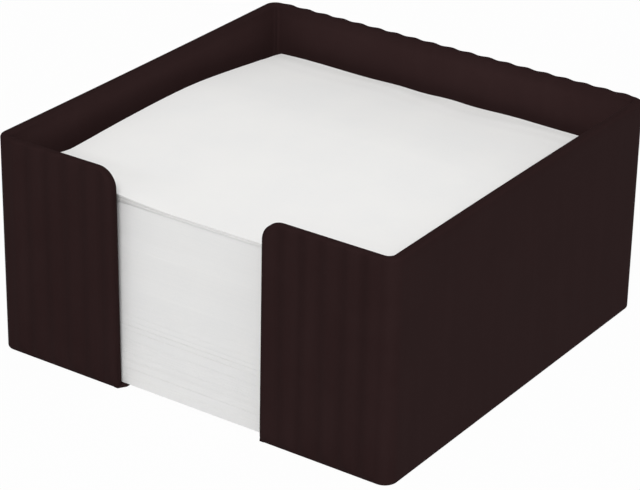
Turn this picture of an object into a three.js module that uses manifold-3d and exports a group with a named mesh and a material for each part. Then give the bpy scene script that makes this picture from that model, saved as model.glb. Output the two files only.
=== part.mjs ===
// A desk holder with a cube of loose notes standing in it.
// The holder is one moulding: a square box, open at the top, with upright flutes on its front and
// back walls, a slot down its front wall and a finger cut-out in its floor. The notes are loose
// sheets, lying lower along their back edge than in the middle.
// Millimetres, +Z up, the front wall towards -Y. The origin is the middle of the underside.

import * as THREE from "three";
import { mergeVertices } from "three/addons/utils/BufferGeometryUtils.js";
import Module from "manifold-3d";

const wasm = await Module();
wasm.setup();

// Driving dimensions: the notes, and the room that the holder leaves round them
const NOTE_WIDTH = 90;
const NOTE_DEPTH = 90;
const NOTE_THICKNESS = 0.1;
const SIDE_PLAY = 5;
const DEPTH_PLAY = 5;
const NOTE_CLEARANCE = 0.35;

// Driving dimensions: the holder's walls and floor
const HOLDER_HEIGHT = 50;
const FOOT_WALL = 2.5;
const RIM_WALL = 2.3;
const FLOOR = 1.2;
const OUTER_CORNER_RADIUS = 3;
const INNER_CORNER_RADIUS = 1;
const RIM_RADIUS = 0.7;
const FOOT_RADIUS = 0.5;
const FLOOR_FILLET = 0.25;

// Driving dimensions: the flutes, which fade out just above the foot
const FLUTE_DEPTH = 0.5;
const FLUTE_FADE = 1;
const FLUTES = 19;

// Driving dimensions: the slot in the front wall and the finger cut-out in the floor
const SLOT_FOOT_WIDTH = 36.8;
const SLOT_FLARE = 0.2;
const SLOT_CORNER_RADIUS = 4.5;
const JAMB_RADIUS = 0.8;
const FINGER_LEDGE = 0.7;
const FINGER_THROAT = 2.5;
const FINGER_BEVEL = 0.6;
const FINGER_LIP = 0.25;

// Driving dimensions: how the notes lie
const BUNDLES_BELOW_RIM = 7.25;
const BUNDLES = 14;
const LOOSE_SHEETS = 6;
const BUNDLE_GAP = 0.02;
const SHEET_GAP_FRONT = 0.06;
const SHEET_GAP_BACK = 0.04;
const NOTE_LEAN = 1.3;
const NOTE_JOG = 0.15;
const LOOSE_OVERHANG = 0.4;

// The stack's height along the notes' depth, from the front edge to the back one, as a share of its
// greatest height
const STACK_TOP_SHARES = [
  [0, 0.975],
  [0.16, 0.981],
  [0.33, 0.994],
  [0.5, 1],
  [0.64, 0.992],
  [0.82, 0.954],
  [1, 0.904],
];

// The cuts run on past what they cut by this much
const OVERRUN = 2;

// Faces per form
const FLUTE_STEPS = 6;
const CORNER_STEPS = 4;
const EDGE_STEPS = 3;
const SLOT_CORNER_STEPS = 8;
const FINGER_STEPS = 10;
const STATIONS = 18;

// Sizes that follow from the driving dimensions
const HOLDER_WIDTH = NOTE_WIDTH + SIDE_PLAY + 2 * FOOT_WALL;
const HOLDER_DEPTH = NOTE_DEPTH + DEPTH_PLAY + 2 * FOOT_WALL;
const HALF_WIDTH = HOLDER_WIDTH / 2;
const HALF_DEPTH = HOLDER_DEPTH / 2;
const BUNDLES_HEIGHT = HOLDER_HEIGHT - BUNDLES_BELOW_RIM - FLOOR;
const QUARTER_TURN = Math.PI / 2;

// A solid lofted through rings of points at rising levels, all with the same count and each
// counter-clockwise seen from above. Flat caps close its two ends.
function loft(rings) {
  const count = rings[0].points.length;
  const vertices = [];
  for (const { points, level } of rings) {
    for (const p of points) vertices.push(p.x, p.y, level);
  }
  const faces = [];
  for (let k = 0; k + 1 < rings.length; k++) {
    for (let i = 0; i < count; i++) {
      const here = k * count + i;
      const next = k * count + ((i + 1) % count);
      faces.push(here, next, next + count, here, next + count, here + count);
    }
  }
  const last = (rings.length - 1) * count;
  for (const [a, b, c] of THREE.ShapeUtils.triangulateShape(rings[0].points, [])) {
    faces.push(a, c, b);
  }
  for (const [a, b, c] of THREE.ShapeUtils.triangulateShape(rings.at(-1).points, [])) {
    faces.push(last + a, last + b, last + c);
  }
  const geometry = new THREE.BufferGeometry();
  geometry.setAttribute("position", new THREE.Float32BufferAttribute(vertices, 3));
  geometry.setIndex(faces);
  return geometry;
}

// A geometry as a solid for joining and cutting
function solidOf(geometry) {
  const bare = geometry.clone();
  bare.deleteAttribute("normal");
  bare.deleteAttribute("uv");
  const merged = mergeVertices(bare);
  const vertProperties = merged.attributes.position.array;
  const triVerts = new Uint32Array(merged.index.array);
  return new wasm.Manifold(new wasm.Mesh({ numProp: 3, vertProperties, triVerts }));
}

// A solid as a geometry that a mesh can carry
function geometryOf(solid) {
  const { numProp, numVert, vertProperties, triVerts } = solid.getMesh();
  const positions = new Float32Array(numVert * 3);
  for (let i = 0; i < numVert; i++) {
    positions.set(vertProperties.subarray(i * numProp, i * numProp + 3), i * 3);
  }
  const geometry = new THREE.BufferGeometry();
  geometry.setAttribute("position", new THREE.BufferAttribute(positions, 3));
  geometry.setIndex(new THREE.BufferAttribute(triVerts, 1));
  geometry.computeVertexNormals();
  return geometry;
}

// Points along a quarter circle, turning left from its start angle
function quarterArc(x, y, radius, start, first, last) {
  const points = [];
  for (let i = first; i <= last; i++) {
    const angle = start + (i / CORNER_STEPS) * QUARTER_TURN;
    points.push(new THREE.Vector2(x + radius * Math.cos(angle), y + radius * Math.sin(angle)));
  }
  return points;
}

// How far one flute stands out along its width: nothing at its edges and all of it in the middle
function fluteShare(turns) {
  return (1 - Math.cos(2 * Math.PI * turns)) / 2;
}

// The holder's outer outline in plan, moved inwards by inset. The flutes stand out of the front and
// back walls by the given share of their depth.
function outerRing(inset, standShare, level) {
  const valley = HALF_DEPTH - FLUTE_DEPTH;
  const x = HALF_WIDTH - OUTER_CORNER_RADIUS;
  const y = valley - OUTER_CORNER_RADIUS;
  const radius = OUTER_CORNER_RADIUS - inset;
  const steps = FLUTES * FLUTE_STEPS;
  const points = [];
  for (const side of [-1, 1]) {
    for (let i = 0; i <= steps; i++) {
      const stand = FLUTE_DEPTH * standShare * fluteShare(i / FLUTE_STEPS);
      const along = 1 - (2 * i) / steps;
      points.push(new THREE.Vector2(side * along * x, side * (valley + stand - inset)));
    }
    const start = side * QUARTER_TURN;
    points.push(...quarterArc(-side * x, side * y, radius, start, 1, CORNER_STEPS));
    points.push(...quarterArc(-side * x, -side * y, radius, start + QUARTER_TURN, 0, CORNER_STEPS - 1));
  }
  return { points, level };
}

// The outline of the space inside the walls, for a wall of the given thickness
function innerRing(wall, radius, level) {
  const x = HALF_WIDTH - wall - radius;
  const y = HALF_DEPTH - wall - radius;
  const points = [
    ...quarterArc(x, y, radius, 0, 0, CORNER_STEPS),
    ...quarterArc(-x, y, radius, QUARTER_TURN, 0, CORNER_STEPS),
    ...quarterArc(-x, -y, radius, 2 * QUARTER_TURN, 0, CORNER_STEPS),
    ...quarterArc(x, -y, radius, 3 * QUARTER_TURN, 0, CORNER_STEPS),
  ];
  return { points, level };
}

// Steps round a quarter of an edge: how far each has turned in from the wall and up towards the top
function edgeSteps(radius) {
  return Array.from({ length: EDGE_STEPS + 1 }, (_, i) => {
    const angle = (i / EDGE_STEPS) * QUARTER_TURN;
    return { inset: radius * (1 - Math.cos(angle)), rise: radius * Math.sin(angle) };
  });
}

// The block that the holder is cut from: a rounded foot, the fluted walls and a rounded rim
function outerBlock() {
  const foot = edgeSteps(FOOT_RADIUS)
    .map(({ inset, rise }) => outerRing(inset, 0, FOOT_RADIUS - rise))
    .reverse();
  const rim = edgeSteps(RIM_RADIUS).map(({ inset, rise }) =>
    outerRing(inset, 1, HOLDER_HEIGHT - RIM_RADIUS + rise),
  );
  return solidOf(loft([...foot, outerRing(0, 1, FOOT_RADIUS + FLUTE_FADE), ...rim]));
}

// The space that the notes stand in: a fillet round the floor, walls that thin out upwards, and a
// mouth that opens over the rounded rim
function noteSpace() {
  const fillet = edgeSteps(FLOOR_FILLET)
    .map(({ inset, rise }) =>
      innerRing(FOOT_WALL + inset, INNER_CORNER_RADIUS, FLOOR + FLOOR_FILLET - rise),
    )
    .reverse();
  const mouth = edgeSteps(RIM_RADIUS).map(({ inset, rise }) =>
    innerRing(RIM_WALL - inset, INNER_CORNER_RADIUS + inset, HOLDER_HEIGHT - RIM_RADIUS + rise),
  );
  const above = innerRing(
    RIM_WALL - RIM_RADIUS,
    INNER_CORNER_RADIUS + RIM_RADIUS,
    HOLDER_HEIGHT + OVERRUN,
  );
  return solidOf(loft([...fillet, ...mouth, above]));
}

// The slot's outline, seen from the front with the height upwards, grown by the given amount. Its
// sides spread a little towards the top and end in round shoulders that run out into the rim.
function slotRing(growth, level) {
  const shoulder = SLOT_FOOT_WIDTH / 2 + SLOT_FLARE + SLOT_CORNER_RADIUS;
  const right = [new THREE.Vector2(SLOT_FOOT_WIDTH / 2 + growth, FLOOR)];
  for (let i = 0; i <= SLOT_CORNER_STEPS; i++) {
    const angle = 2 * QUARTER_TURN - (i / SLOT_CORNER_STEPS) * QUARTER_TURN;
    const radius = SLOT_CORNER_RADIUS - growth;
    right.push(
      new THREE.Vector2(
        shoulder + radius * Math.cos(angle),
        HOLDER_HEIGHT - SLOT_CORNER_RADIUS + radius * Math.sin(angle),
      ),
    );
  }
  right.push(new THREE.Vector2(shoulder, HOLDER_HEIGHT + OVERRUN));
  const left = right.map((p) => new THREE.Vector2(-p.x, p.y)).reverse();
  return { points: [...right, ...left], level };
}

// The tool that cuts the slot through the front wall. It widens towards both faces of the wall, so
// that the jambs and shoulders get round edges.
function frontSlot() {
  const round = edgeSteps(JAMB_RADIUS);
  const outer = round.map(({ inset, rise }) => slotRing(inset, HALF_DEPTH - JAMB_RADIUS + rise));
  const innerFace = HALF_DEPTH - RIM_WALL;
  const inner = round
    .map(({ inset, rise }) => slotRing(inset, innerFace + JAMB_RADIUS - rise))
    .reverse();
  const behind = slotRing(JAMB_RADIUS, innerFace - OVERRUN);
  const before = slotRing(JAMB_RADIUS, HALF_DEPTH + OVERRUN);
  const geometry = loft([behind, ...inner, ...outer, before]);
  return solidOf(geometry.rotateX(QUARTER_TURN));
}

// The finger cut-out's outline in plan, grown by the given amount: in past a rounded ledge each side
// of the slot's foot, then round the end
function fingerRing(growth, level) {
  const slotHalf = SLOT_FOOT_WIDTH / 2;
  const mouth = -HALF_DEPTH + FINGER_LEDGE;
  const ledge = FINGER_LEDGE - growth;
  const right = [
    new THREE.Vector2(slotHalf, -HALF_DEPTH - OVERRUN),
    ...quarterArc(slotHalf, mouth, ledge, 2 * QUARTER_TURN, 0, CORNER_STEPS).reverse(),
  ];
  for (let i = 0; i < FINGER_STEPS; i++) {
    const angle = (i / FINGER_STEPS) * QUARTER_TURN;
    const radius = slotHalf - ledge;
    right.push(
      new THREE.Vector2(
        radius * Math.cos(angle),
        mouth + FINGER_THROAT + radius * Math.sin(angle),
      ),
    );
  }
  const end = new THREE.Vector2(0, mouth + FINGER_THROAT + slotHalf - ledge);
  const left = right.map((p) => new THREE.Vector2(-p.x, p.y)).reverse();
  return { points: [...right, end, ...left], level };
}

// The tool that cuts the finger cut-out. It widens upwards, so that the floor slopes down to a thin
// lip all round the gap.
function fingerCutOut() {
  const rings = [
    fingerRing(0, -OVERRUN),
    fingerRing(0, FINGER_LIP),
    fingerRing(FINGER_BEVEL, FLOOR),
    fingerRing(FINGER_BEVEL, FLOOR + OVERRUN),
  ];
  return solidOf(loft(rings));
}

function holderGeometry() {
  const box = outerBlock().subtract(noteSpace());
  return geometryOf(box.subtract(frontSlot()).subtract(fingerCutOut()));
}

// The places along the depth where the notes' curve is worked out. Between them it runs straight,
// so that every sheet lies on exactly the curve of the one below it.
const NOTES_FRONT = -HALF_DEPTH + FOOT_WALL + NOTE_CLEARANCE;
const NOTES_REACH = NOTE_DEPTH + NOTE_LEAN;
const stackTop = new THREE.SplineCurve(STACK_TOP_SHARES.map(([u, v]) => new THREE.Vector2(u, v)));
const stationShares = Array.from({ length: STATIONS + 1 }, (_, i) => stackTop.getPoint(i / STATIONS));
const stations = stationShares.map((share) => NOTES_FRONT + share.x * NOTES_REACH);

// The stack's height at a place along the depth, as a share of its greatest height
function stackShare(y) {
  const past = stations.findIndex((station, i) => i > 0 && station >= y);
  const i = past > 0 ? past : STATIONS;
  const share = (y - stations[i - 1]) / (stations[i] - stations[i - 1]);
  return THREE.MathUtils.lerp(stationShares[i - 1].y, stationShares[i].y, share);
}

// How far a loose sheet's top lies above the top of the sheet below, at a place along the depth
function loosePitch(y) {
  const share = (y - NOTES_FRONT) / NOTES_REACH;
  return NOTE_THICKNESS + THREE.MathUtils.lerp(SHEET_GAP_FRONT, SHEET_GAP_BACK, share);
}

// A sheet or a bundle of sheets: the shape between its lower and upper curves, seen from the side,
// carried across the width of a note
function noteGeometry(front, lower, upper) {
  const back = front + NOTE_DEPTH;
  const between = stations.filter((y) => y > front && y < back);
  const places = [front, ...between, back];
  const outline = [
    ...places.map((y) => new THREE.Vector2(y, lower(y))),
    ...places.reverse().map((y) => new THREE.Vector2(y, upper(y))),
  ];
  const geometry = new THREE.ExtrudeGeometry(new THREE.Shape(outline), {
    depth: NOTE_WIDTH,
    bevelEnabled: false,
  });
  const across = new THREE.Matrix4().makeBasis(
    new THREE.Vector3(0, 1, 0),
    new THREE.Vector3(0, 0, 1),
    new THREE.Vector3(1, 0, 0),
  );
  return geometry.applyMatrix4(across);
}

// The angle from one piece of the stack to the next in the waves that they lie along, across the
// stack and along it
const JOG_ANGLE_ACROSS = 2.4;
const JOG_ANGLE_ALONG = 4.1;

// How far a piece of the stack has slid out of line, as a share of the most that one does
function jogShare(place, angle) {
  return (1 + Math.sin(angle * place)) / 2;
}

// A note's front edge, which leans back as the stack rises
function noteFront(place, heightShare) {
  const jog = NOTE_JOG * jogShare(place, JOG_ANGLE_ALONG);
  return NOTES_FRONT + (NOTE_LEAN - jog) * heightShare;
}

// A note's left edge. The notes stand against the right wall.
function noteLeft(place) {
  const right = HALF_WIDTH - FOOT_WALL - NOTE_CLEARANCE;
  return right - NOTE_WIDTH - NOTE_JOG * jogShare(place, JOG_ANGLE_ACROSS);
}

function plasticMaterial() {
  return new THREE.MeshStandardMaterial({ color: 0x2d1f1e, roughness: 0.45, metalness: 0 });
}

function paperMaterial() {
  return new THREE.MeshStandardMaterial({ color: 0xe9e7e3, roughness: 0.92, metalness: 0 });
}

function holder() {
  const mesh = new THREE.Mesh(holderGeometry(), plasticMaterial());
  mesh.name = "holder";
  return mesh;
}

function noteMesh(name, place, geometry) {
  const mesh = new THREE.Mesh(geometry, paperMaterial());
  mesh.name = name;
  mesh.position.x = noteLeft(place);
  return mesh;
}

// One bundle of the lower sheets, which lie pressed together
function noteBundle(place) {
  const below = (place - 1) / BUNDLES;
  const above = place / BUNDLES;
  const lower = (y) => FLOOR + BUNDLES_HEIGHT * below * stackShare(y);
  const upper = (y) => FLOOR + BUNDLES_HEIGHT * above * stackShare(y) - BUNDLE_GAP;
  const name = "note_bundle_" + String(place).padStart(2, "0");
  return noteMesh(name, place, noteGeometry(noteFront(place, above), lower, upper));
}

// One of the loose sheets on top
function looseSheet(place) {
  const top = (y) => FLOOR + BUNDLES_HEIGHT * stackShare(y) + place * loosePitch(y);
  const lower = (y) => top(y) - NOTE_THICKNESS;
  const front = noteFront(BUNDLES + place, 1) - LOOSE_OVERHANG;
  const geometry = noteGeometry(front, lower, top);
  return noteMesh("note_sheet_" + place, BUNDLES + place, geometry);
}

function notes() {
  const group = new THREE.Group();
  for (let place = 1; place <= BUNDLES; place++) group.add(noteBundle(place));
  for (let place = 1; place <= LOOSE_SHEETS; place++) group.add(looseSheet(place));
  return group;
}

const part = new THREE.Group();
part.add(holder(), notes());
export default part;
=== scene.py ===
# %% [markdown]
# # A desk holder full of loose notes
#
# The object is a square holder of very dark brown plastic with a cube of loose white notes in it.
# An engineering model of both already exists, with every piece in its place and at its real size.
# This lesson keeps that model as a fixed frame and gives each piece its finished shape and surface.
#
# One idea carries the whole lesson: the wall of the holder, its floor and every sheet of paper are
# all thin bodies between two faces. So each one is worked out as two grids of points, and a single
# helper closes any two such grids into a shell.

import bpy
import numpy as np
from mathutils import Matrix, Vector


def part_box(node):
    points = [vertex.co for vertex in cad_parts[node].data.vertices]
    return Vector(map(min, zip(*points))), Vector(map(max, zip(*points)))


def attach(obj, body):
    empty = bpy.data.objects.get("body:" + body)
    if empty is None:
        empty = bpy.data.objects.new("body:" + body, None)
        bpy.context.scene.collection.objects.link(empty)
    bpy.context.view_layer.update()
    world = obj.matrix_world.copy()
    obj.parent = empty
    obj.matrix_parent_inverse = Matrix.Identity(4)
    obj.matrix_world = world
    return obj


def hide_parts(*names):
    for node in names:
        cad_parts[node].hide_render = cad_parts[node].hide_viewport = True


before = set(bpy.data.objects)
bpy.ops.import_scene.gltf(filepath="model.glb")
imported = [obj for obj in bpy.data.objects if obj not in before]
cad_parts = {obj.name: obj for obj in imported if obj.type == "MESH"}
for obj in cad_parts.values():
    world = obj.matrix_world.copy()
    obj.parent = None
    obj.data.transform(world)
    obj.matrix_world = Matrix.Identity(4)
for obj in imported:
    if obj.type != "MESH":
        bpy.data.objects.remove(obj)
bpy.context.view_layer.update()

# %% [markdown]
# ## Measures
#
# Blender counts in metres, and the holder's own drawing is in millimetres, so every measure here is
# written in millimetres and multiplied once. The holder's overall size is asked of the engineering
# model instead of being typed again, and so are the places and the curves of the notes further down.

# %% Name the sizes that the pieces share
MM = 0.001
HALF_WIDTH, HALF_DEPTH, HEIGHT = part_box("holder")[1]
FOOT_WALL = 2.5 * MM
RIM_WALL = 2.3 * MM
FLOOR = 1.2 * MM
FLUTE_DEPTH = 0.5 * MM
OUTER_CORNER = 3 * MM
SLOT_HALF = 18.4 * MM
NOTE_WIDTH = 90 * MM
NOTE_DEPTH = 90 * MM
print("holder, mm:", [round(v / MM, 2) for v in (2 * HALF_WIDTH, 2 * HALF_DEPTH, HEIGHT)])

# %% [markdown]
# ## Camera
#
# The picture was taken with a long lens from the front right, about 26 degrees above the desk. The
# eye, the direction and the small roll below were found by matching the box's corners to the
# picture, which is 640 pixels wide. A focal length in pixels becomes a lens in millimetres through
# the sensor's width. Three angles would aim the camera too, but their order is easily mistaken. So
# its matrix is built from three directions: right, up and backwards.

# %% Place the camera
PICTURE_WIDTH = 640
FOCAL_PIXELS = 2648
SENSOR_WIDTH = 36
EYE = Vector((290.9, -426.9, 271.8)) * MM
AZIMUTH, ELEVATION, ROLL = np.radians([34.39, 26.02, 1.04])


def look_direction(azimuth, elevation):
    """The direction that a camera or a lamp looks in: downwards by the elevation, and along +Y at an
    azimuth of 0."""
    flat = Vector((-np.sin(azimuth), np.cos(azimuth), 0)) * np.cos(elevation)
    return flat - Vector((0, 0, np.sin(elevation)))


forward = look_direction(AZIMUTH, ELEVATION)
level_right = forward.cross(Vector((0, 0, 1))).normalized()
level_up = level_right.cross(forward)
right = level_right * np.cos(ROLL) + level_up * np.sin(ROLL)
up = level_up * np.cos(ROLL) - level_right * np.sin(ROLL)

camera = bpy.data.objects.new("camera", bpy.data.cameras.new("camera"))
camera.data.sensor_width = SENSOR_WIDTH
camera.data.lens = FOCAL_PIXELS / PICTURE_WIDTH * SENSOR_WIDTH
camera.matrix_world = Matrix.Translation(EYE) @ Matrix((right, up, -forward)).transposed().to_4x4()
bpy.context.scene.collection.objects.link(camera)
bpy.context.scene.camera = camera
print("lens, mm:", round(camera.data.lens, 1))

# %% [markdown]
# ## Shader maths as plain expressions
#
# A procedural material is arithmetic on numbers that change over the surface. Wiring Math nodes by
# hand hides that arithmetic, so a small class wraps a node's output and overloads two operators:
# `0.6 + 0.4 * mask` then adds its two Math nodes by itself. Every other node comes from one method,
# which takes the node's settings first and then the values or links of its sockets.

# %% A number that changes over a surface, and the finish that it belongs to


class Field:
    """An output of a shader node, on which + and * add the matching Math node."""

    def __init__(self, finish, socket):
        self.finish = finish
        self.socket = socket

    def maths(self, operation, first, second):
        return self.finish.node("ShaderNodeMath", {"operation": operation}, {0: first, 1: second})

    def __add__(self, other):
        return self.maths("ADD", self, other)

    def __radd__(self, other):
        return self.maths("ADD", other, self)

    def __mul__(self, other):
        return self.maths("MULTIPLY", self, other)

    def __rmul__(self, other):
        return self.maths("MULTIPLY", other, self)

    def between(self, limits):
        """0 where the number is at or below the lower limit, 1 at or above the upper one, and smooth
        between them."""
        low, high = limits
        settings = {"interpolation_type": "SMOOTHSTEP"}
        return self.finish.node("ShaderNodeMapRange", settings, {0: self, 1: low, 2: high})


class Finish:
    """A material or a world with an empty node tree, and the ways to fill it."""

    def __init__(self, owner):
        self.owner = owner
        self.owner.use_nodes = True
        self.tree = self.owner.node_tree
        self.tree.nodes.clear()

    def node(self, kind, settings=None, sockets=None, output=0):
        """Adds a node: its settings first, then its sockets by name or number. Gives one output."""
        made = self.tree.nodes.new(kind)
        for name, value in (settings or {}).items():
            setattr(made, name, value)
        for name, value in (sockets or {}).items():
            if isinstance(value, Field):
                self.tree.links.new(value.socket, made.inputs[name])
            else:
                made.inputs[name].default_value = value
        return Field(self, made.outputs[output]) if len(made.outputs) else made

    def noise(self, size, detail=2.0, seed=0.0):
        """Cloudy noise whose clouds are about size across, in metres along X, Y and Z."""
        place = self.node("ShaderNodeTexCoord", output="Object")
        scale = tuple(1 / s for s in np.broadcast_to(size, 3))
        moved = self.node("ShaderNodeMapping", None, {"Vector": place, "Scale": scale})
        settings = {"noise_dimensions": "4D"}
        sockets = {"Vector": moved, "W": seed, "Scale": 1.0, "Detail": detail}
        return self.node("ShaderNodeTexNoise", settings, sockets)

    def attribute(self, name):
        """A number stored on the piece's points."""
        return self.node("ShaderNodeAttribute", {"attribute_name": name}, output="Fac")

    def mix(self, mask, first, second):
        """A colour between two others, by a mask from 0 to 1."""
        sockets = {0: mask, 6: first, 7: second}
        return self.node("ShaderNodeMix", {"data_type": "RGBA"}, sockets, output=2)

    def bump(self, height, distance):
        """The normal of a surface raised by a height from 0 to 1, times a distance in metres."""
        return self.node("ShaderNodeBump", None, {"Height": height, "Distance": distance})

    def surface(self, sockets):
        """Ends the tree in a Principled shader with these sockets."""
        shader = self.node("ShaderNodeBsdfPrincipled", None, sockets)
        self.node("ShaderNodeOutputMaterial", None, {"Surface": shader})
        return self.owner


def rgb(red, green, blue):
    """A colour given as a screen shows it, from 0 to 255, turned into the linear values of a shader."""
    screen = np.array([red, green, blue]) / 255
    linear = np.where(screen <= 0.04045, screen / 12.92, ((screen + 0.055) / 1.055) ** 2.4)
    return (*linear.tolist(), 1.0)


print("a middle grey in linear values:", [round(v, 3) for v in rgb(128, 128, 128)])

# %% [markdown]
# ## Ground, world and lamps
#
# The picture has a plain white ground and hardly a shadow, so much of the light here comes evenly
# from a pale world. The other part comes from two soft lamps. The main one stands near the camera,
# so the shadows that the slot's edges throw on the paper fall where the camera can't see them. A
# weaker one fills the right side.
#
# Enough light would turn any pale ground white, but it would also bleach the paper. So the ground
# glows white of its own, to the camera and in reflections only. To all other light, and with a small
# share to the camera as well, it is an ordinary matt surface that shows the holder's contact shadow.

# %% Light the scene
GROUND_HALF = 3.0
WORLD_LEVEL = 0.42
WHITE = (1, 1, 1, 1)
GROUND_GREY = (0.6, 0.6, 0.6, 1)
GROUND_WHITE_SHARE = 0.97
LAMP_DISTANCE = 1.95
LAMP_SIDE = 0.6
LAMP_ELEVATION = 45
MAIN_AZIMUTH, MAIN_WATTS = 26, 22.5
SIDE_AZIMUTH, SIDE_WATTS = 80, 7


def seen_directly(finish):
    """1 for rays from the camera and for mirror and glass rays, and 0 for all others."""
    rays = [
        finish.node("ShaderNodeLightPath", output=kind)
        for kind in ("Is Camera Ray", "Is Glossy Ray", "Is Transmission Ray")
    ]
    return rays[0] + rays[1] + rays[2]


def ground_finish():
    """Nearly all white to the camera and to mirrors. The small rest, and all of it for other light,
    is a matt grey that takes shadows."""
    finish = Finish(bpy.data.materials.new("floor"))
    matt = finish.node("ShaderNodeBsdfDiffuse", None, {"Color": GROUND_GREY})
    white = finish.node("ShaderNodeEmission", None, {"Color": WHITE, "Strength": 1.0})
    share = seen_directly(finish) * GROUND_WHITE_SHARE
    mixed = finish.node("ShaderNodeMixShader", None, {0: share, 1: matt, 2: white})
    finish.node("ShaderNodeOutputMaterial", None, {"Surface": mixed})
    return finish.owner


def light_world():
    """A world that looks white, but lights matt surfaces less than half as strongly as white would."""
    finish = Finish(bpy.data.worlds.new("studio"))
    strength = WORLD_LEVEL + (1 - WORLD_LEVEL) * seen_directly(finish)
    white = finish.node("ShaderNodeBackground", None, {"Color": WHITE, "Strength": strength})
    finish.node("ShaderNodeOutputWorld", None, {"Surface": white})
    bpy.context.scene.world = finish.owner


def soft_lamp(name, azimuth, watts):
    """A square lamp that looks at the origin from an azimuth in degrees."""
    data = bpy.data.lights.new(name, "AREA")
    data.size = LAMP_SIDE
    data.energy = watts
    lamp = bpy.data.objects.new(name, data)
    aim = look_direction(*np.radians([azimuth, LAMP_ELEVATION]))
    lamp.location = -LAMP_DISTANCE * aim
    lamp.rotation_euler = aim.to_track_quat("-Z", "Y").to_euler()
    bpy.context.scene.collection.objects.link(lamp)


signs = ((-1, -1), (1, -1), (1, 1), (-1, 1))
ground_corners = [(x * GROUND_HALF, y * GROUND_HALF, 0) for x, y in signs]
ground_mesh = bpy.data.meshes.new("floor")
ground_mesh.from_pydata(ground_corners, [], [(0, 1, 2, 3)])
ground_mesh.materials.append(ground_finish())
floor = bpy.data.objects.new("floor", ground_mesh)
bpy.context.scene.collection.objects.link(floor)
light_world()
soft_lamp("main_lamp", MAIN_AZIMUTH, MAIN_WATTS)
soft_lamp("side_lamp", SIDE_AZIMUTH, SIDE_WATTS)
bpy.context.scene.view_settings.view_transform = "Standard"
print("world level:", WORLD_LEVEL)

# %% [markdown]
# ## One helper for every thin body
#
# A wall, a floor and a sheet of paper each have two faces that run side by side. If both faces are
# grids with the same rows and columns, the body between them closes by simple counting. Each row of
# the first face, followed by the same row of the second face backwards, is one closed loop round
# the body. Neighbouring loops are joined by four-sided faces, and the two end loops are zipped shut.
#
# A Solidify modifier could thicken a single face, but it gives both sides the same shape, and here
# they differ. The same counting works for many bodies at once, because numpy adds each body's first
# point number to a whole table of faces. The signed volume tells whether the faces point outwards.

# %% Close the space between two grids
CREASE_ANGLE = np.radians(35)


def loop_faces(loops, around):
    """Four-sided faces between neighbouring loops of a given number of points, and the two ends.
    A face joins point j and point j + 1 of a loop to the same points of the next loop. At an end,
    points j and j + 1 are joined to the points that lie opposite them across the loop."""
    j = np.arange(around)
    start = around * np.arange(loops - 1)[:, None]
    after = (j + 1) % around
    band = np.stack([start + j, start + after, start + around + after, start + around + j], axis=-1)
    half = np.arange(around // 2 - 1)
    zipped = np.stack([half, half + 1, around - 2 - half, around - 1 - half], axis=-1)
    last = around * (loops - 1) + zipped
    return np.concatenate([band.reshape(-1, 4), zipped[:, ::-1], last])


def signed_volume(points, faces):
    """The sum, over all faces, of the volume between a face's two triangles and the origin."""
    a, b, c, d = (points[faces[:, k]] for k in range(4))
    return (a * np.cross(b, c) + a * np.cross(c, d)).sum() / 6


def thin_bodies(one_face, other_face):
    """Points and outward faces of the bodies between two arrays of grids: bodies x rows x columns."""
    bodies, rows, columns = one_face.shape[:3]
    points = np.concatenate([one_face, other_face[:, :, ::-1]], axis=2).reshape(-1, 3)
    faces = loop_faces(rows, 2 * columns)
    per_body = rows * 2 * columns
    faces = (per_body * np.arange(bodies)[:, None, None] + faces).reshape(-1, 4)
    if signed_volume(points, faces) < 0:
        faces = faces[:, ::-1]
    return points, faces


def loop_values(one_face, other_face):
    """A number for each point of two grids, in the order in which thin_bodies puts the points."""
    return np.concatenate([one_face, other_face[:, :, ::-1]], axis=2).reshape(-1)


def new_piece(name, points, faces, material, values):
    """A smooth object at the origin, creased at its sharp edges, with named numbers on its points."""
    mesh = bpy.data.meshes.new(name)
    mesh.from_pydata(points.tolist(), [], faces.tolist())
    mesh.shade_smooth()
    mesh.set_sharp_from_angle(angle=CREASE_ANGLE)
    for label, numbers in values.items():
        layer = mesh.attributes.new(label, "FLOAT", "POINT")
        layer.data.foreach_set("value", numbers.astype(np.float32))
    mesh.materials.append(material)
    piece = bpy.data.objects.new(name, mesh)
    bpy.context.scene.collection.objects.link(piece)
    print(name, "has", len(points), "points and", len(faces), "faces")
    return piece


print("faces of a body with 3 loops of 4 points:", len(loop_faces(3, 4)))

# %% [markdown]
# ## Dark moulded plastic
#
# The holder is moulded in coloured polystyrene with a satin, almost matt skin. Close up, such a skin
# has a very fine even grain from the mould. Over a larger distance its colour clouds a little, with
# long upright flow marks on the walls. Hands have worn the edges slightly duller. The edges and the
# inner corners are also painted a little darker, as painted shade over the light that the rim and
# the corners catch. The inner walls are painted paler, as painted bounce light from the paper.
#
# A painted picture could show all that, but it would need a flat layout of the curved wall, and it
# blurs close up. So everything here is noise in space, steered by numbers that the piece's points
# carry. The grain goes into the bump and the roughness, the flow marks and the painted bounce light
# into the colour, and the clouds and the worn edges with their painted shade into both.

# %% The finish of the holder
PLASTIC = rgb(42, 28, 28)
PLASTIC_CLOUD = rgb(45, 31, 31)
# Painted shade: the darker colour of the worn edges and the inner corners.
PLASTIC_RUBBED_SHADE = rgb(39, 26, 26)
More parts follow.
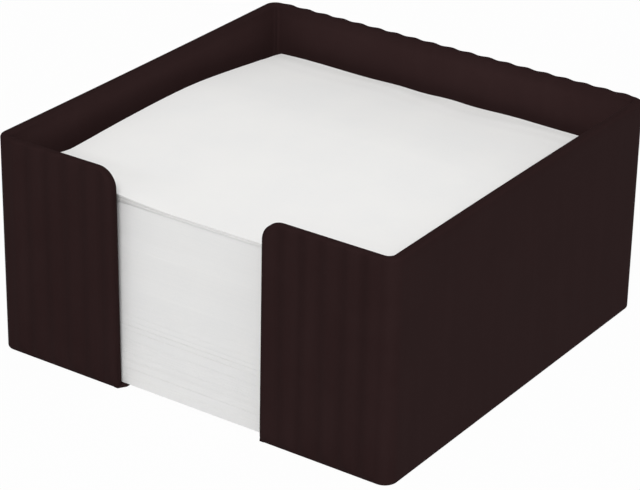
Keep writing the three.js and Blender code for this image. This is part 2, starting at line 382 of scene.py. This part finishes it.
# Painted bounce light: the paler colour of the inner walls, where light from the paper falls.
PAPER_BOUNCE_LIGHT = rgb(74, 53, 53)
GRAIN_SIZE = 0.22 * MM
GRAIN_HEIGHT = 0.006 * MM
CLOUD_SIZE = 11 * MM
CLOUD_LIMITS = (0.35, 0.65)
FLOW_SIZE = (2.5 * MM, 2.5 * MM, 45 * MM)
FLOW_LIMITS = (0.4, 0.7)
RUB_AND_SHADE_SIZE = 1.6 * MM
BOUNCE_LIGHT_SIZE = 3 * MM
CLOUD_SHARE, FLOW_SHARE, BOUNCE_LIGHT_SHARE = 0.6, 0.3, 0.2
PLASTIC_ROUGHNESS = 0.58
GRAIN_ROUGHER, CLOUD_ROUGHER, RUBBED_ROUGHER = 0.07, 0.05, 0.35
PLASTIC_SHINE = 0.01


def plastic_finish():
    """The holder's finish. Its points say how much a place is worn and darkened by painted shade, and
    how much painted bounce light makes it paler.
    """
    finish = Finish(bpy.data.materials.new("dark_moulded_plastic"))
    grain = finish.noise(GRAIN_SIZE, detail=3.0)
    cloud = finish.noise(CLOUD_SIZE, detail=4.0, seed=3.0).between(CLOUD_LIMITS)
    flow = finish.noise(FLOW_SIZE, seed=7.0).between(FLOW_LIMITS)
    rubbed_and_shaded = finish.attribute("rubbed_and_shaded") * (0.6 + 0.4 * finish.noise(RUB_AND_SHADE_SIZE, detail=4.0, seed=5.0))
    bounce_light = finish.attribute("painted_bounce") * (0.8 + 0.4 * finish.noise(BOUNCE_LIGHT_SIZE, detail=5.0, seed=6.0))
    colour = finish.mix(cloud * CLOUD_SHARE + flow * FLOW_SHARE, PLASTIC, PLASTIC_CLOUD)
    # Painted shade: worn edges and inner corners are painted darker.
    colour = finish.mix(rubbed_and_shaded, colour, PLASTIC_RUBBED_SHADE)
    # Painted bounce light: the inner walls are painted paler.
    colour = finish.mix(bounce_light * BOUNCE_LIGHT_SHARE, colour, PAPER_BOUNCE_LIGHT)
    rougher = GRAIN_ROUGHER * grain + CLOUD_ROUGHER * cloud + RUBBED_ROUGHER * rubbed_and_shaded
    return finish.surface(
        {
            "Base Color": colour,
            "Roughness": PLASTIC_ROUGHNESS + rougher,
            "Normal": finish.bump(grain, GRAIN_HEIGHT),
            "Specular IOR Level": PLASTIC_SHINE,
        }
    )


plastic = plastic_finish()
print("plastic colour, linear:", [round(v, 4) for v in PLASTIC[:3]])

# %% [markdown]
# ## The holder's wall
#
# The holder's four walls are one moulded ribbon, open at the slot. A box with cuts and a bevel would
# be quick to make, but a bevel breaks where it meets the many narrow flutes. So the ribbon is worked
# out as a surface with two parameters, the way along the plan and the height, and every edge of it
# is rounded by one rule: near the outline, both faces turn in towards the middle of the wall along a
# quarter circle, as far as their distance from the outline says. The steps are finer where something
# bends.

# %% Round edges and steps
EDGE_RADIUS = 0.75 * MM
FOOT_RADIUS = 0.5 * MM
SHOULDER = 4.5 * MM
SLOT_FLARE = 0.2 * MM
FLUTE_FADE = 1 * MM
FLUTES = 19
INNER_CORNER = 1 * MM
SIDE_BOW = 0.3 * MM
EDGE_STEPS = 8
FOOT_STEPS = 5
SHOULDER_STEPS = 14


def round_over(distance, radius):
    """How far a face has turned in at some distance from its edge. It is the radius less the height
    of a quarter circle, so it is nothing from one radius on and the whole radius at the edge."""
    reach = radius - np.clip(distance, 0, radius)
    return radius - np.sqrt(radius**2 - reach**2)


def round_steps(radius, count):
    """Distances from an edge that lie at even angles round its quarter circle."""
    return radius * (1 - np.cos(np.linspace(0, np.pi / 2, count)))


def even_steps(count):
    """Shares of a way at the ends of this many even steps, without the share of 0 at its start."""
    return np.linspace(0, 1, count + 1)[1:]


def smooth(share):
    """A share from 0 to 1 that starts and ends gently: 3 s squared less 2 s cubed."""
    share = np.clip(share, 0, 1)
    return share**2 * (3 - 2 * share)


print("steps round an edge, mm:", np.round(round_steps(EDGE_RADIUS, EDGE_STEPS) / MM, 2).tolist())

# %% [markdown]
# ### The plan of the wall
#
# Seen from above, the ribbon starts at the slot's left jamb, runs round the box and ends at the right
# jamb. The holder is the same on both sides, so only the left half is worked out, as straight runs
# and quarter circles, and then mirrored. A curve object with rounded corners could give the same
# line. Here each point also has to know which way is outwards and how far off the jamb is.

# %% The plan of the wall
FRONT_RUN = HALF_WIDTH - OUTER_CORNER - SLOT_HALF
FLUTE_PITCH = 2 * (HALF_WIDTH - OUTER_CORNER) / FLUTES
FLUTE_STEPS = 12
MIRROR = np.array([-1, 1])


def front_shares():
    """Shares of the way from the jamb to the corner: fine at the edge, then round the shoulder."""
    edge = round_steps(EDGE_RADIUS, EDGE_STEPS)
    shoulder = round_steps(SHOULDER, SHOULDER_STEPS)
    rest = np.arange(SHOULDER, FRONT_RUN, FLUTE_PITCH / FLUTE_STEPS)
    return np.unique(np.concatenate([edge, shoulder, rest, [FRONT_RUN]])) / FRONT_RUN


FRONT_SHARES = front_shares()
CORNER_SHARES = even_steps(12)
SIDE_SHARES = even_steps(40)
BACK_SHARES = even_steps(FLUTES * FLUTE_STEPS // 2)


def corner(x, y, radius, start):
    """A quarter circle turning clockwise from its start angle, and its outward directions."""
    angle = start - CORNER_SHARES * np.pi / 2
    outward = np.stack([np.cos(angle), np.sin(angle)], axis=-1)
    return np.array([x, y]) + radius * outward, outward


def line(start, end, shares):
    """Points at the given shares of the straight way from start to end."""
    return np.array(start) + np.multiply.outer(shares, np.subtract(end, start))


def straight(start, end, shares, outward):
    """A straight run of the outline, and its one outward direction at each point."""
    points = line(start, end, shares)
    return points, np.broadcast_to(outward, points.shape)


def both_halves(left, flip=MIRROR):
    """The left half of an outline and then its mirror image backwards, with the middle point once."""
    return np.concatenate([left, left[-2::-1] * flip])


def plan(half_width, half_depth, radius):
    """The outline from the left jamb round to the right jamb: places, outward directions and the
    distance from the nearest jamb, which past the front wall is taken as half the box's width."""
    x, y = half_width - radius, half_depth - radius
    runs = [
        straight((-SLOT_HALF, -half_depth), (-x, -half_depth), FRONT_SHARES, (0, -1)),
        corner(-x, -y, radius, -np.pi / 2),
        straight((-half_width, -y), (-half_width, y), SIDE_SHARES, (-1, 0)),
        corner(-x, y, radius, np.pi),
        straight((-x, half_depth), (0, half_depth), BACK_SHARES, (0, 1)),
    ]
    places = np.concatenate([run[0] for run in runs])
    outward = np.concatenate([run[1] for run in runs])
    jamb = np.full(len(places), HALF_WIDTH)
    jamb[: len(FRONT_SHARES)] = FRONT_SHARES * (x - SLOT_HALF)
    return both_halves(places), both_halves(outward), both_halves(jamb, flip=1)


outer_plan = plan(HALF_WIDTH, HALF_DEPTH - FLUTE_DEPTH, OUTER_CORNER)
inner_plan = plan(HALF_WIDTH - FOOT_WALL, HALF_DEPTH - FOOT_WALL, INNER_CORNER)
print("places along the wall:", len(outer_plan[0]))

# %% [markdown]
# ### The two faces of the wall
#
# Three details make the wall look moulded. Round flutes stand out of the front and back walls and
# fade out above the foot. The slot's shoulders are quarter circles, so the wall's top edge drops
# there. And the side walls bow inwards a little, as thin moulded walls do when they cool. Modifiers
# could do each of these, one after the other. As terms of one sum, they can't get in each other's
# way.

# %% The two faces of the wall
STRAIGHT = 0.999


def height_shares():
    """Shares of the wall's height: fine at the foot and where the flutes fade, then at the rim."""
    foot = round_steps(FOOT_RADIUS, FOOT_STEPS)
    fade = FOOT_RADIUS + FLUTE_FADE * even_steps(FOOT_STEPS)
    rim = HEIGHT - round_steps(EDGE_RADIUS, EDGE_STEPS)[::-1]
    middle = fade[-1] + (rim[0] - fade[-1]) * even_steps(25)[:-1]
    return np.concatenate([foot, fade, middle, rim]) / HEIGHT


def wall_top(jamb):
    """The height of the wall's edge: a quarter circle down from the rim over the shoulder."""
    return HEIGHT - round_over(jamb, SHOULDER)


def outline_distance(jamb, z):
    """The distance from the outline: from the rim or the jamb, whichever is nearer, or round the
    shoulder the radius less the distance from the shoulder's centre."""
    square = np.minimum(jamb, HEIGHT - z)
    across, above = SHOULDER - jamb, z - (HEIGHT - SHOULDER)
    round_one = SHOULDER - np.hypot(across, above)
    return np.maximum(np.where((across > 0) & (above > 0), round_one, square), 0)


def fluting(x, outward_y, z):
    """How far the flutes stand out: a raised cosine along the wall, fading in above the foot. Only
    the straight parts of the front and back walls, which face along Y, have flutes."""
    wave = (1 - np.cos(2 * np.pi * (x + HALF_WIDTH - OUTER_CORNER) / FLUTE_PITCH)) / 2
    on_wall = (np.abs(x) < HALF_WIDTH - OUTER_CORNER) & (np.abs(outward_y) > STRAIGHT)
    return FLUTE_DEPTH * wave * on_wall * np.clip((z - FOOT_RADIUS) / FLUTE_FADE, 0, 1)


def wall_face(outline, outward_shift):
    """A face of the wall on the grid of places and heights, and each point's distance from the
    outline. Each place moves along its outward direction by a shift, sideways with the slot's flare,
    and inwards with the side walls' bow."""
    places, outward, jamb = (part[:, None] for part in outline)
    z = wall_top(jamb) * height_shares()
    edge = outline_distance(jamb, z)
    x, y = places[..., 0], places[..., 1]
    shift = outward_shift(x, outward[..., 1], z, edge)
    nearness = np.clip(1 - jamb / FRONT_RUN, 0, 1)
    rise = np.clip((z - FLOOR) / (HEIGHT - SHOULDER - FLOOR), 0, 1)
    flare = np.sign(x) * SLOT_FLARE * nearness * rise
    bow = SIDE_BOW * outward[..., 0] * (1 - (y / HALF_DEPTH) ** 2) * (z / HEIGHT) ** 2
    x = x + outward[..., 0] * shift + flare - bow
    y = y + outward[..., 1] * shift
    return np.stack([x, y, z], axis=-1), edge


def outer_shift(x, outward_y, z, edge):
    """Out with the flutes, in at the outline and in at the foot."""
    return fluting(x, outward_y, z) - round_over(edge, EDGE_RADIUS) - round_over(z, FOOT_RADIUS)


def inner_shift(x, outward_y, z, edge):
    """Out with the draft, by which the wall gets thinner upwards, and out at the outline."""
    return (FOOT_WALL - RIM_WALL) * z / HEIGHT + round_over(edge, EDGE_RADIUS)


outer_face, outer_edge = wall_face(outer_plan, outer_shift)
inner_face, inner_edge = wall_face(inner_plan, inner_shift)
wall_points, wall_faces = thin_bodies(outer_face[None], inner_face[None])
print("wall, mm:", np.round((wall_points.max(0) - wall_points.min(0)) / MM, 2).tolist())

# %% [markdown]
# ## The holder's floor
#
# The floor is a flat plate with a finger cut-out: a gap with a round end that continues the slot, so
# that a fingertip can push the notes up from below. Round the gap the floor slopes down to a thin
# lip. A narrow ledge of that lip shows behind each jamb.
#
# A boolean cut would leave one big face with a ragged ring of corners, and no slope. So the floor is
# a band too. One side follows the gap, the other follows the foot of the walls, and the points
# between them lie on straight lines from one to the other. The outer side ends inside the wall,
# where nothing shows.

# %% The floor between the gap and the walls
LEDGE = 1.1 * MM
THROAT = 1.2 * MM
LIP = 0.3 * MM
LIP_WIDTH = 1.4 * MM
SLOPE_WIDTH = 2.3 * MM
BURIED = 0.3 * MM
JAMB_OVERLAP = 1.0 * MM
LONGEST_SLOPE = 0.9
FLOOR_FRONT = -HALF_DEPTH + EDGE_RADIUS
MOUTH = -HALF_DEPTH + FOOT_WALL
GAP_HALF = SLOT_HALF - LEDGE
GAP_CENTRE = MOUTH + THROAT


def floor_rise(distance):
    """The floor's height as a share from lip to full thickness, by the distance from the gap."""
    return smooth((distance - LIP_WIDTH) / SLOPE_WIDTH)


def floor_sides():
    """The left half of the gap's outline and of the floor's outer side, matched point by point:
    along the slanting ledge, then along the throat, then round the end. There each point of the gap
    lies at the angle of its outer point, seen from the centre of the round end, or straight to the
    left of the centre while the outer point is still in front of it."""
    jamb_x = -SLOT_HALF - JAMB_OVERLAP
    wall_x = -HALF_WIDTH + FOOT_WALL - BURIED
    wall_y = HALF_DEPTH - FOOT_WALL + BURIED
    short = even_steps(8)
    with_start = np.insert(short, 0, 0)
    ledge = line((-SLOT_HALF, FLOOR_FRONT), (-GAP_HALF, MOUTH), with_start)
    beside = line((jamb_x, FLOOR_FRONT), (jamb_x, -wall_y), with_start)
    throat = line((-GAP_HALF, MOUTH), (-GAP_HALF, GAP_CENTRE), short)
    along = line((jamb_x, -wall_y), (wall_x, -wall_y), short)
    side = line((wall_x, -wall_y), (wall_x, wall_y), even_steps(36))
    back = line((wall_x, wall_y), (0, wall_y), even_steps(16))
    outer_end = np.concatenate([side, back])
    centre = np.array([0, GAP_CENTRE])
    across, depth = (outer_end - centre).T
    angle = np.arctan2(depth, across)
    angle = np.where(angle < 0, np.pi, angle)
    gap_end = centre + GAP_HALF * np.stack([np.cos(angle), np.sin(angle)], axis=-1)
    return np.concatenate([ledge, throat, gap_end]), np.concatenate([beside, along, outer_end])


def floor_faces():
    """The top and the underside of the floor, as grids from the gap to the outer side."""
    gap, outer = (both_halves(side) for side in floor_sides())
    width = np.linalg.norm(outer - gap, axis=-1, keepdims=True)
    slope_end = np.minimum(LIP_WIDTH + SLOPE_WIDTH, LONGEST_SLOPE * width)
    near = slope_end * np.insert(even_steps(11), 0, 0)
    far = slope_end + (width - slope_end) * even_steps(5)
    distance = np.concatenate([near, far], axis=1)
    flat = gap[:, None] + (outer - gap)[:, None] * (distance / width)[..., None]
    height = LIP + (FLOOR - LIP) * floor_rise(distance)
    top = np.concatenate([flat, height[..., None]], axis=-1)
    underside = np.concatenate([flat, np.zeros_like(height)[..., None]], axis=-1)
    return top, underside


floor_top, floor_underside = floor_faces()
plate_points, plate_faces = thin_bodies(floor_top[None], floor_underside[None])
print("floor, mm:", np.round((plate_points.max(0) - plate_points.min(0)) / MM, 2).tolist())

# %% [markdown]
# ### Wall and floor become one moulding
#
# The real holder is one piece, so the wall and the floor go into one mesh. Each point also gets two
# numbers for the finish. The first says how much hands have worn it and how much painted shade
# darkens it, which is most at the edges and in the inner corners. The second says how much painted
# bounce light from the paper makes it paler, which is only inside, away from the edges and out of
# the corners. Painting such masks by hand would work, but the distance from the outline is known
# already, so they follow from it.

# %% Join the wall and the floor into the holder
# Painted shade: how far in from the outline the darker edges reach, and how dark the inner corners are
# painted.
RUB_AND_SHADE_REACH = 0.9 * MM
# Painted bounce light: how far from the edges the paler inner walls begin.
BOUNCE_FREE_EDGE = 1.5 * MM
CORNER_SHADE_AND_RUB = 0.5
CORNER_MIDDLE = 0.72


def rubbed_and_shaded_edge(edge):
    """1 at the outline, falling to nothing at the distance that a hand wears the edge and that the
    edge's painted shade reaches.
    """
    return np.clip(1 - edge / RUB_AND_SHADE_REACH, 0, 1)


def flatness(outward):
    """1 where a wall is straight, falling to 0 in the middle of a corner, where the painted bounce
    light stays off.
    """
    largest = np.abs(outward).max(axis=-1)
    return smooth((largest - CORNER_MIDDLE) / (1 - CORNER_MIDDLE))[:, None]


inner_flatness = flatness(inner_plan[1])
# Painted shade: the inner corners are painted darker, besides the worn edges.
inner_rub_and_shade = np.maximum(rubbed_and_shaded_edge(inner_edge), CORNER_SHADE_AND_RUB * (1 - inner_flatness))
# Painted bounce light: the inner walls are painted paler away from the edges and the corners.
inner_bounce = smooth(inner_edge / BOUNCE_FREE_EDGE) * inner_flatness
rubbed_and_shaded = loop_values(rubbed_and_shaded_edge(outer_edge)[None], inner_rub_and_shade[None])
painted_bounce = loop_values(np.zeros_like(inner_bounce)[None], inner_bounce[None])
clean = np.zeros(len(plate_points))
holder = new_piece(
    "holder_moulding",
    np.concatenate([wall_points, plate_points]),
    np.concatenate([wall_faces, plate_faces + len(wall_points)]),
    plastic,
    {"rubbed_and_shaded": np.concatenate([rubbed_and_shaded, clean]), "painted_bounce": np.concatenate([painted_bounce, clean])},
)
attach(holder, "holder")
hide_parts("holder")

# %% [markdown]
# ## White writing paper
#
# The notes are cut from uncoated white paper. A sheet is matt, and its white is very slightly warm.
# Fibres make it faintly uneven, and sheets from different parts of a pile differ a little in tone.
# That last difference draws many of the fine lines on the side of the pile. The sheets below the
# loose top six are also painted a touch greyer and cooler than those six: painted shade on the side
# of the pile. A few materials of different tones could show these differences. One material is
# enough if each sheet carries a number of its own, which its points store.

# %% The finish of the notes
PAPER = rgb(241, 240, 238)
PAPER_SHADE = rgb(226, 227, 229)
FIBRE_SIZE = 0.5 * MM
FIBRE_HEIGHT = 0.004 * MM
PAPER_CLOUD_SIZE = 14 * MM
PAPER_CLOUD_LIMITS = (0.3, 0.7)
FIBRE_SHADE, CLOUD_SHADE, TONE_SHADE = 0.25, 0.15, 0.2
FIBRE_ROUGHER = 0.1
PAPER_ROUGHNESS = 0.86
PAPER_SHINE = 0.2


def paper_finish():
    """The notes' finish. The points of a sheet say how far it is from the palest tone."""
    finish = Finish(bpy.data.materials.new("white_writing_paper"))
    fibre = finish.noise(FIBRE_SIZE, detail=4.0, seed=2.0)
    cloud = finish.noise(PAPER_CLOUD_SIZE, detail=3.0, seed=9.0).between(PAPER_CLOUD_LIMITS)
    shade = FIBRE_SHADE * fibre + CLOUD_SHADE * cloud + TONE_SHADE * finish.attribute("tone")
    return finish.surface(
        {
            "Base Color": finish.mix(shade, PAPER, PAPER_SHADE),
            "Roughness": PAPER_ROUGHNESS + FIBRE_ROUGHER * fibre,
            "Normal": finish.bump(fibre, FIBRE_HEIGHT),
            "Specular IOR Level": PAPER_SHINE,
        }
    )


paper = paper_finish()
print("paper colour, linear:", [round(v, 3) for v in PAPER[:3]])

# %% [markdown]
# ## The pile of notes
#
# Some four hundred sheets lie in the holder. A block with lines drawn on its side would look right
# from afar, but only separate sheets catch the light at their edges. The engineering model holds
# them as thick bundles, so each bundle is filled here with sheets of its own. They follow the
# bundle's side view, which is read from its mesh: at each place along the depth, the lowest and the
# highest point.

# %% Read how the bundles lie
SHEETS_PER_BUNDLE = 28
SHEET_SHARE = 0.96
SEAM = 0.02 * MM
BUNDLES = sorted(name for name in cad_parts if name.startswith("note_bundle"))
TOP_SHEETS = sorted(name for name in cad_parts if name.startswith("note_sheet"))
BUNDLE_CORNERS = np.array([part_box(name)[0] for name in BUNDLES])


def side_view(node):
    """A node's lower and upper curve: places along the depth, and the least and greatest height."""
    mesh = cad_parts[node].data
    points = np.empty(len(mesh.vertices) * 3, np.float32)
    mesh.vertices.foreach_get("co", points)
    points = points.reshape(-1, 3).astype(float)
    places, which = np.unique(np.round(points[:, 1], 6), return_inverse=True)
    lower, upper = np.full(len(places), np.inf), np.full(len(places), -np.inf)
    np.minimum.at(lower, which, points[:, 2])
    np.maximum.at(upper, which, points[:, 2])
    return places, lower, upper


for name in (BUNDLES[0], BUNDLES[-1]):
    places, lower, upper = side_view(name)
    print(name, "rises to", round(upper.max() / MM, 2), "mm and ends at", round(upper[-1] / MM, 2))

# %% [markdown]
# ### Sheets that nobody has squared up
#
# Each sheet of a bundle lies one equal step above the last, on the way from the bundle's lower curve
# to its upper one. No hand squares up a pile perfectly. The pile's own slight lean and waves are read
# from where the bundles stand, and joined by straight lines from one bundle to the next.
#
# On top of that, a seeded random generator moves each sheet by about a hundredth of a millimetre at
# most. In the lower part of the pile it moves some by up to a tenth, always further in. An array
# modifier would repeat one sheet exactly. A numpy array holds all sheets of a bundle just as well,
# and each of them can differ.

# %% Fill a bundle with sheets
SEED = 11
SHEET_JITTER = 0.006 * MM
STRAY_JITTER = 0.06 * MM
JITTER_LIMIT = 1.8
STRAY_SHARE = 0.16
STRAY_TOP = 0.45
# Painted shade: the bundles' sheets are never paler than this, so the side of the pile is greyer and
# cooler.
SIDE_SHADE_TONE = 0.4
TWO_SIDES = np.array([0, 1])
ALONG_DEPTH = np.linspace(0, 1, 15)
random = np.random.default_rng(SEED)


def pile_line(number, axis):
    """Where the front left corners of a bundle's sheets lie along one axis: on the line that joins
    the bundles' own corners at the middle of their heights."""
    sheets = number + (np.arange(SHEETS_PER_BUNDLE) + 0.5) / SHEETS_PER_BUNDLE
    return np.interp(sheets, np.arange(len(BUNDLES)) + 0.5, BUNDLE_CORNERS[:, axis])


def strays(count, place):
    """How far sheets lie out of line at a place in the pile, as a share of its height: all by a
    little, and some in the lower part by more. These lie further in and draw fine dark lines."""
    chance = STRAY_SHARE if place < STRAY_TOP else 0
    shift = np.clip(random.standard_normal(count), -JITTER_LIMIT, JITTER_LIMIT)
    return np.where(random.random(count) < chance, STRAY_JITTER * np.abs(shift), SHEET_JITTER * shift)


def sheet_grids(number, across, along):
    """Where a bundle's sheets lie, as sheets x places along x places across, and how thick each is:
    nearly all of the bundle's height there, divided by its number of sheets."""
    count = SHEETS_PER_BUNDLE
    place = number / len(BUNDLES)
    left = (pile_line(number, 0) + strays(count, place))[:, None, None]
    front = (pile_line(number, 1) + strays(count, place))[:, None, None]
    x = left + NOTE_WIDTH * across[None, None, :]
    y = front + NOTE_DEPTH * along[None, :, None]
    places, lower, upper = side_view(BUNDLES[number])
    floor_curve, top_curve = np.interp(y, places, lower), np.interp(y, places, upper)
    pitch = (top_curve - floor_curve + SEAM) / count
    z = floor_curve + pitch * np.arange(count)[:, None, None]
    return np.broadcast_arrays(x, y, z, SHEET_SHARE * pitch)


def add_bundle(number, x, y, z, thickness):
    """All sheets of one bundle, as one piece that moves with the block."""
    points, faces = thin_bodies(np.stack([x, y, z + thickness], axis=-1), np.stack([x, y, z], axis=-1))
    # A random tone per sheet, raised by painted shade on the side of the pile.
    tone = SIDE_SHADE_TONE + (1 - SIDE_SHADE_TONE) * random.random(SHEETS_PER_BUNDLE)
    tone = np.repeat(tone, len(points) // SHEETS_PER_BUNDLE)
    piece = new_piece(f"notes_{number + 1:02d}", points, faces, paper, {"tone": tone})
    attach(piece, "note_block")
    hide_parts(BUNDLES[number])


for number in range(1, len(BUNDLES)):
    add_bundle(number, *sheet_grids(number, TWO_SIDES, ALONG_DEPTH))

# %% [markdown]
# ## The lowest sheets
#
# Under the slot the floor has its gap, and there the lowest sheets have nothing beneath them. The
# weight of the pile has pressed their front edges down over the lip, nearly to the desk. A cloth
# simulation could find that sag, but only the front edges show, so a formula is enough. The lowest
# bundle needs a finer grid for it. Its sheets sag by a product of three shares: one mirrors the rise
# of the floor, one fades back from the front edge, and one from the lowest sheet to the highest.

# %% Let the lowest bundle sag through the gap
DESK_GAP = 0.45 * MM
SAG = FLOOR - DESK_GAP
SAG_DEPTH = 16 * MM
SAG_FULL_HALF = GAP_HALF + LIP_WIDTH


def sag(x, y):
    """How far the lowest sheet hangs down: where the floor is low, and less from the front edge
    backwards. The distance from the gap is the one from its middle line or from the centre of its
    round end, less its half width."""
    distance = np.hypot(x, np.maximum(y - GAP_CENTRE, 0)) - GAP_HALF
    return SAG * (1 - floor_rise(distance)) * smooth(1 - (y - y.min()) / SAG_DEPTH)


def sagging_shares():
    """Shares across and along the lowest sheets: finer over the floor's slopes and at the front."""
    slope = np.linspace(-SAG_FULL_HALF - SLOPE_WIDTH, -SAG_FULL_HALF, 9)
    inside = np.linspace(-SAG_FULL_HALF, SAG_FULL_HALF, 13)[1:-1]
    slot_places = np.concatenate([slope, inside, -slope[::-1]])
    across = np.concatenate([[0], (slot_places - BUNDLE_CORNERS[0, 0]) / NOTE_WIDTH, [1]])
    front = np.linspace(0, 1, 12) ** 1.5 * SAG_DEPTH / NOTE_DEPTH
    return across, np.concatenate([front, np.linspace(0.25, 1, 8)])


x, y, z, thickness = sheet_grids(0, *sagging_shares())
hang = sag(x, y)
share_left = 1 - np.arange(SHEETS_PER_BUNDLE)[:, None, None] / SHEETS_PER_BUNDLE
add_bundle(0, x, y, z - hang * share_left, thickness + hang / SHEETS_PER_BUNDLE)

# %% [markdown]
# ## The top sheets
#
# The top six sheets lie loosely, each on a joint of its own, so each is a piece. They show from
# above, where light grazes them, so their surface isn't quite even: it has a broad soft wave, a few
# shallow puckers along the back edge, and a front left corner that curls up.
#
# Sculpting by hand would do for one sheet, but six sculpted sheets would soon cut through each other.
# A formula keeps them apart: the unevenness only ever lifts a sheet, and it grows from the lowest of
# the six to the top one. So thin dark gaps open between them beside the slot's left jamb. In the same
# way each sheet is turned a touch further than the one below it, so that their front edges fan out.

# %% Lay the six loose sheets
WAVE_HEIGHT = 0.12 * MM
WAVE_ACROSS, WAVE_ALONG = 13 * MM, 17 * MM
PUCKER_HEIGHT = 0.18 * MM
PUCKER_PITCH = 19 * MM
PUCKER_REACH = 16 * MM
FOLD_HEIGHT = 0.08 * MM
FOLD_PITCH = 5.5 * MM
WANDER_SHORT, WANDER_MIDDLE, WANDER_LONG = 7 * MM, 9 * MM, 17 * MM
CURL_HEIGHT = 2 * MM
CURL_ACROSS = 38 * MM
CURL_BACK = 14 * MM
SHEET = 0.13 * MM
TURN = np.radians(0.3)
SLID_BACK = 0.2 * MM
# The top sheets stay paler than the bundles below, whose side carries painted shade.
TOP_TONE = 0.15


def unevenness(x, y):
    """A broad wave over the whole sheet, puckers and soft folds along the back edge, and a curl at the
    front left corner. Puckers run away from the edge, and folds run along it. Their lines wander by
    sines of the place across, whose strengths and starts are given. The curl is a product of
    two smooth shares, one along each edge."""
    broad = (1 + np.sin(x / WAVE_ACROSS + 0.8) * np.cos(y / WAVE_ALONG - 0.5)) / 2
    back = smooth(1 - (y.max() - y) / PUCKER_REACH)
    pucker = (1 + np.sin(2 * np.pi * x / PUCKER_PITCH + 1.3 * np.sin(x / WANDER_MIDDLE))) / 2
    wander = 1.7 * np.sin(x / WANDER_SHORT) + 0.9 * np.sin(x / WANDER_LONG + 1)
    fold = (1 + np.sin(2 * np.pi * y / FOLD_PITCH + wander)) / 2
    at_back = (PUCKER_HEIGHT * pucker + FOLD_HEIGHT * fold) * back
    curl = smooth(1 - (x - x.min()) / CURL_ACROSS) * smooth(1 - (y - y.min()) / CURL_BACK)
    return WAVE_HEIGHT * broad + at_back + CURL_HEIGHT * curl


def add_top_sheet(number, node):
    """One loose sheet on its own body. It follows the lower curve of its node."""
    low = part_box(node)[0]
    places, lower, _ = side_view(node)
    x = low.x + NOTE_WIDTH * np.linspace(0, 1, 61)[None, :]
    y = low.y + NOTE_DEPTH * np.linspace(0, 1, 121)[:, None]
    share = (number + 1) / len(TOP_SHEETS)
    turn = TURN * share
    x, y = x - (y - y.mean()) * turn, y + (x - x.mean()) * turn + SLID_BACK
    x, y, z = np.broadcast_arrays(x, y, np.interp(y, places, lower) + unevenness(x, y) * share)
    under = np.stack([x, y, z], axis=-1)[None]
    points, faces = thin_bodies(under + np.array([0, 0, SHEET]), under)
    tone = np.full(len(points), TOP_TONE * random.random())
    piece = new_piece(f"top_note_{number + 1}", points, faces, paper, {"tone": tone})
    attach(piece, f"sheet_{number + 1}")
    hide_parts(node)


for number, node in enumerate(TOP_SHEETS):
    add_top_sheet(number, node)
